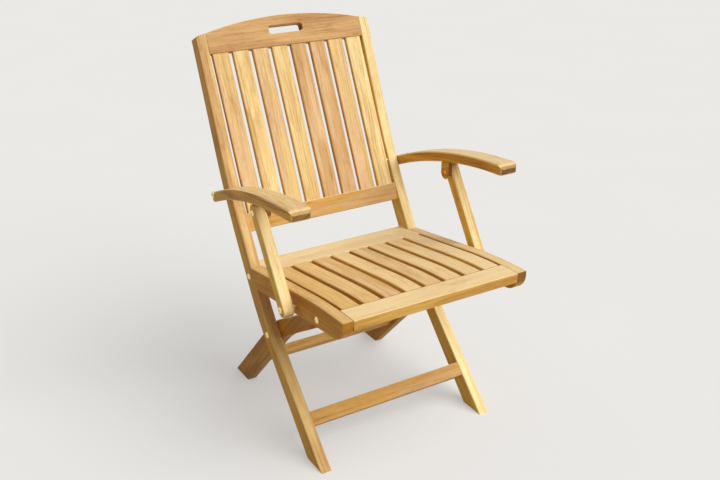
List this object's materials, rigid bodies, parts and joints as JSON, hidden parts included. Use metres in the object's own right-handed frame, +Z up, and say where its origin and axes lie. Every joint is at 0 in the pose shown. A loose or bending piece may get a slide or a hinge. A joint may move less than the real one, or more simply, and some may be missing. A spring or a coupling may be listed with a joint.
{
  "type": "folding teak armchair",
  "caption": "Folding slatted teak armchair: cranked stiles crossed by rear legs, bowed seat, curved arms on pivoting posts, brass pivots and a hand-hold in the arched crest rail.",
  "frame": {"origin": "on the floor, midway between the seat's front edge and the rearmost point of the crest rail, in the chair's plane of symmetry", "axes": "+X across the chair towards its right side seen from the front, +Y from front to back (a person sits facing -Y), +Z up"},
  "size_m": [0.576, 0.7113, 0.9066],
  "materials": {
    "teak_frame": "oiled, satin, straight-grained teak",
    "teak_back_slats": "oiled, satin, straight-grained teak",
    "teak_seat_slats": "oiled, satin, straight-grained teak",
    "teak_seat_frame": "oiled, satin, straight-grained teak",
    "teak_rear_legs": "oiled, satin, straight-grained teak",
    "teak_arms": "oiled, satin, straight-grained teak",
    "brass": "satin, lightly tarnished"
  },
  "bodies": {
    "back_frame": {"stile_left": "teak_frame", "stile_right": "teak_frame", "top_rail": "teak_frame", "lower_back_rail": "teak_frame", "front_stretcher": "teak_frame", "cross_rail": "teak_frame", "ledger": "teak_frame", "back_slat_1": "teak_back_slats", "back_slat_2": "teak_back_slats", "back_slat_3": "teak_back_slats", "back_slat_4": "teak_back_slats", "back_slat_5": "teak_back_slats", "back_slat_6": "teak_back_slats", "back_slat_7": "teak_back_slats", "back_slat_8": "teak_back_slats", "crossing_bolts": "brass", "cross_rail_bolts": "brass", "arm_pivot_bolts": "brass"},
    "rear_leg_frame": {"rear_leg_left": "teak_rear_legs", "rear_leg_right": "teak_rear_legs", "rear_stretcher": "teak_rear_legs"},
    "seat": {"seat_side_rail_left": "teak_seat_frame", "seat_side_rail_right": "teak_seat_frame", "seat_front_rail": "teak_seat_frame", "seat_rear_rail": "teak_seat_frame", "seat_slat_1": "teak_seat_slats", "seat_slat_2": "teak_seat_slats", "seat_slat_3": "teak_seat_slats", "seat_slat_4": "teak_seat_slats", "seat_slat_5": "teak_seat_slats", "seat_slat_6": "teak_seat_slats", "seat_slat_7": "teak_seat_slats", "seat_slat_8": "teak_seat_slats", "seat_pivot_bolts": "brass"},
    "arm_left": {"arm_left": "teak_arms", "arm_cleat_left": "teak_arms", "post_head_bolt_left": "brass"},
    "post_left": {"arm_post_left": "teak_arms", "post_foot_bolt_left": "brass", "post_spacer_left": "brass"},
    "arm_right": {"arm_right": "teak_arms", "arm_cleat_right": "teak_arms", "post_head_bolt_right": "brass"},
    "post_right": {"arm_post_right": "teak_arms", "post_foot_bolt_right": "brass", "post_spacer_right": "brass"}
  },
  "joints": [
    {"name": "fold", "type": "hinge", "parent": "back_frame", "child": "rear_leg_frame", "pos_m": [0, -0.0027, 0.2345], "axis": [-1, 0, 0], "range_deg": [0, 71]},
    {"name": "seat_fold", "type": "hinge", "parent": "rear_leg_frame", "child": "seat", "pos_m": [0, -0.2487, 0.389], "axis": [1, 0, 0], "range_deg": [0, 137.01]},
    {"name": "arm_left_fold", "type": "hinge", "parent": "back_frame", "child": "arm_left", "pos_m": [-0.255, 0.1803, 0.536], "axis": [-1, 0, 0], "range_deg": [0, 111.83]},
    {"name": "post_left_fold", "type": "hinge", "parent": "arm_left", "child": "post_left", "pos_m": [-0.261, -0.0367, 0.563], "axis": [1, 0, 0], "range_deg": [0, 90.59]},
    {"name": "arm_right_fold", "type": "hinge", "parent": "back_frame", "child": "arm_right", "pos_m": [0.255, 0.1803, 0.536], "axis": [-1, 0, 0], "range_deg": [0, 111.83]},
    {"name": "post_right_fold", "type": "hinge", "parent": "arm_right", "child": "post_right", "pos_m": [0.261, -0.0367, 0.563], "axis": [1, 0, 0], "range_deg": [0, 90.59]}
  ],
  "couplings": [
    {"joint": "seat_fold", "follows": "fold", "ratio": 1.9296},
    {"joint": "arm_left_fold", "follows": "fold", "ratio": 1.575},
    {"joint": "post_left_fold", "follows": "fold", "ratio": 1.2758},
    {"joint": "arm_right_fold", "follows": "fold", "ratio": 1.575},
    {"joint": "post_right_fold", "follows": "fold", "ratio": 1.2758}
  ]
}
